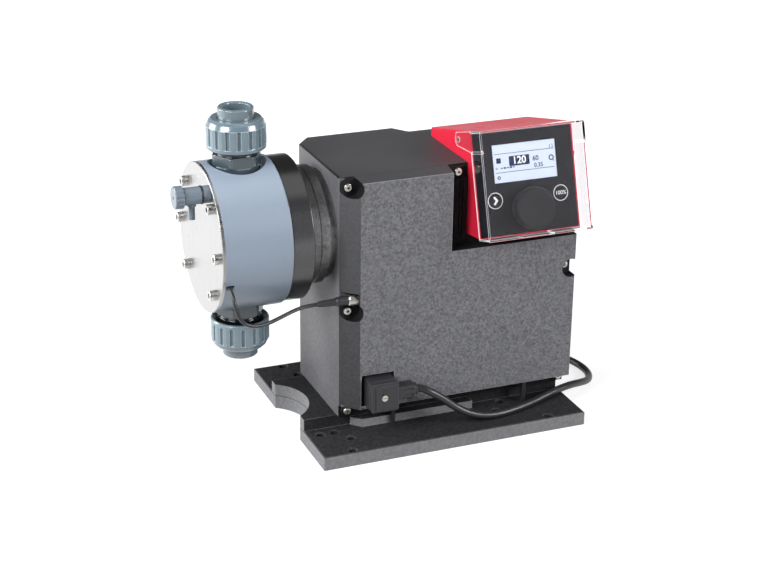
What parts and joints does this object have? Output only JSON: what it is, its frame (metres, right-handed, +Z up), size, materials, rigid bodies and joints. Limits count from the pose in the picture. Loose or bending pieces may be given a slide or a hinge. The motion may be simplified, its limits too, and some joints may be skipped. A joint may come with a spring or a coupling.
{
  "type": "diaphragm metering pump",
  "caption": "Motor-driven diaphragm metering pump on a mounting plate: round dosing head with ribbed unions, upright grey housing, tilted red control box with clear lid.",
  "frame": {"origin": "middle of the mounting plate's underside", "axes": "+X from the dosing head towards the control box end, -Y towards the display side, +Z up"},
  "size_m": [0.4555, 0.349, 0.3333],
  "materials": {
    "plate_black": "fine grained",
    "housing_grey": "grained",
    "black_plastic": "satin",
    "head_grey": "satin",
    "union_grey": "moulded gloss",
    "stainless": "machined",
    "stainless_bright": "brushed",
    "ceramic_white": "polished",
    "seal_black": "matte",
    "cube_red": "satin moulded",
    "panel_dark": "fine matte",
    "display_blue": "smooth",
    "circuit_green": "lacquered",
    "zinc_grey": "satin",
    "motor_black": "satin",
    "gear_brass": "machined",
    "membrane_white": "smooth",
    "clear_acrylic": "clear polished",
    "cord_black": "smooth sheath"
  },
  "bodies": {
    "pump": {"mounting_plate": "plate_black", "locking_posts": "plate_black", "rear_housing": "housing_grey", "front_cover": "housing_grey", "cover_screws": "stainless", "drive_flange": "black_plastic", "drain_ring": "black_plastic", "dosing_head": "head_grey", "head_front_plate": "stainless_bright", "head_screws": "stainless", "discharge_valve_body": "union_grey", "suction_valve_body": "union_grey", "valve_seats": "head_grey", "union_o_rings": "seal_black", "discharge_insert": "union_grey", "suction_insert": "union_grey", "deaeration_body": "head_grey", "deaeration_o_ring": "seal_black", "cube_case": "cube_red", "control_panel": "panel_dark", "lcd_window": "display_blue", "cube_circuit_board": "circuit_green", "rotary_encoder": "zinc_grey", "lid_hinge_pins": "stainless", "mains_socket": "black_plastic", "plug_gasket": "seal_black", "mains_plug": "black_plastic", "plug_screw": "stainless", "mains_cable": "cord_black", "mains_cable_coil": "cord_black", "lead_plug": "black_plastic", "sensor_socket": "zinc_grey", "sensor_connector": "black_plastic", "sensor_cable": "cord_black", "drive_frame": "zinc_grey", "stepper_motor": "motor_black", "shaft_bearings": "stainless", "tappet_bush": "gear_brass", "diaphragm": "membrane_white", "safety_diaphragm": "seal_black", "main_circuit_board": "circuit_green"},
    "discharge_nut": {"discharge_union_nut": "union_grey"},
    "suction_nut": {"suction_union_nut": "union_grey"},
    "discharge_ball": {"discharge_ball": "ceramic_white"},
    "suction_ball": {"suction_ball": "ceramic_white"},
    "deaeration_knob": {"deaeration_knob": "head_grey"},
    "clear_lid": {"clear_lid": "clear_acrylic"},
    "encoder_shaft": {"encoder_shaft": "stainless"},
    "click_wheel": {"click_wheel": "panel_dark"},
    "start_stop_button": {"start_stop_button": "panel_dark"},
    "full_rate_button": {"full_rate_button": "panel_dark"},
    "sensor_nut": {"sensor_nut": "zinc_grey"},
    "drive_shaft": {"eccentric_shaft": "stainless", "drive_gear": "gear_brass"},
    "motor_pinion": {"motor_pinion": "stainless"},
    "tappet": {"tappet": "stainless", "diaphragm_core": "stainless"}
  },
  "joints": [
    {"name": "lid_hinge", "type": "hinge", "parent": "pump", "child": "clear_lid", "pos_m": [0.0788, -0.03434, 0.28963], "axis": [-1, 0, 0], "range_deg": [0, 110]},
    {"name": "wheel_push", "type": "slide", "parent": "pump", "child": "encoder_shaft", "axis": [0, 0.9563, -0.2924], "range_m": [0, 0.0005], "stiffness_N_per_m": 2000, "springref_m": -0.001},
    {"name": "wheel_turn", "type": "hinge", "parent": "encoder_shaft", "child": "click_wheel", "pos_m": [0.0788, -0.08073, 0.22957], "axis": [0, -0.9563, 0.2924], "continuous": true},
    {"name": "start_stop_press", "type": "slide", "parent": "pump", "child": "start_stop_button", "axis": [0, 0.9563, -0.2924], "range_m": [0, 0.0008], "stiffness_N_per_m": 1500, "springref_m": -0.0006},
    {"name": "full_rate_press", "type": "slide", "parent": "pump", "child": "full_rate_button", "axis": [0, 0.9563, -0.2924], "range_m": [0, 0.0008], "stiffness_N_per_m": 1500, "springref_m": -0.0006},
    {"name": "discharge_nut_turn", "type": "hinge", "parent": "pump", "child": "discharge_nut", "pos_m": [-0.1848, 0.004, 0.3088], "axis": [0, 0, 1], "continuous": true},
    {"name": "suction_nut_turn", "type": "hinge", "parent": "pump", "child": "suction_nut", "pos_m": [-0.1848, 0.004, 0.1088], "axis": [0, 0, 1], "continuous": true},
    {"name": "discharge_ball_lift", "type": "slide", "parent": "pump", "child": "discharge_ball", "axis": [0, 0, 1], "range_m": [0, 0.003]},
    {"name": "suction_ball_lift", "type": "slide", "parent": "pump", "child": "suction_ball", "axis": [0, 0, 1], "range_m": [0, 0.003]},
    {"name": "deaeration_turn", "type": "hinge", "parent": "pump", "child": "deaeration_knob", "pos_m": [-0.25, -0.027, 0.2623], "axis": [-1, 0, 0], "range_deg": [0, 180]},
    {"name": "sensor_nut_turn", "type": "hinge", "parent": "pump", "child": "sensor_nut", "pos_m": [-0.094, -0.061, 0.152], "axis": [-1, 0, 0], "continuous": true},
    {"name": "drive_turn", "type": "hinge", "parent": "pump", "child": "drive_shaft", "pos_m": [-0.03, 0.004, 0.2088], "axis": [0, 1, 0], "range_deg": [-90, 90]},
    {"name": "motor_turn", "type": "hinge", "parent": "pump", "child": "motor_pinion", "pos_m": [-0.03, 0.004, 0.1548], "axis": [0, 1, 0], "range_deg": [-270.5, 270.5]},
    {"name": "tappet_stroke", "type": "slide", "parent": "pump", "child": "tappet", "axis": [1, 0, 0], "range_m": [-0.002, 0.002], "deforming": ["diaphragm", "safety_diaphragm"]}
  ],
  "couplings": [
    {"joint": "motor_turn", "follows": "drive_turn", "ratio": -3},
    {"joint": "tappet_stroke", "follows": "drive_turn", "m_per_rad": 0.0012732}
  ]
}
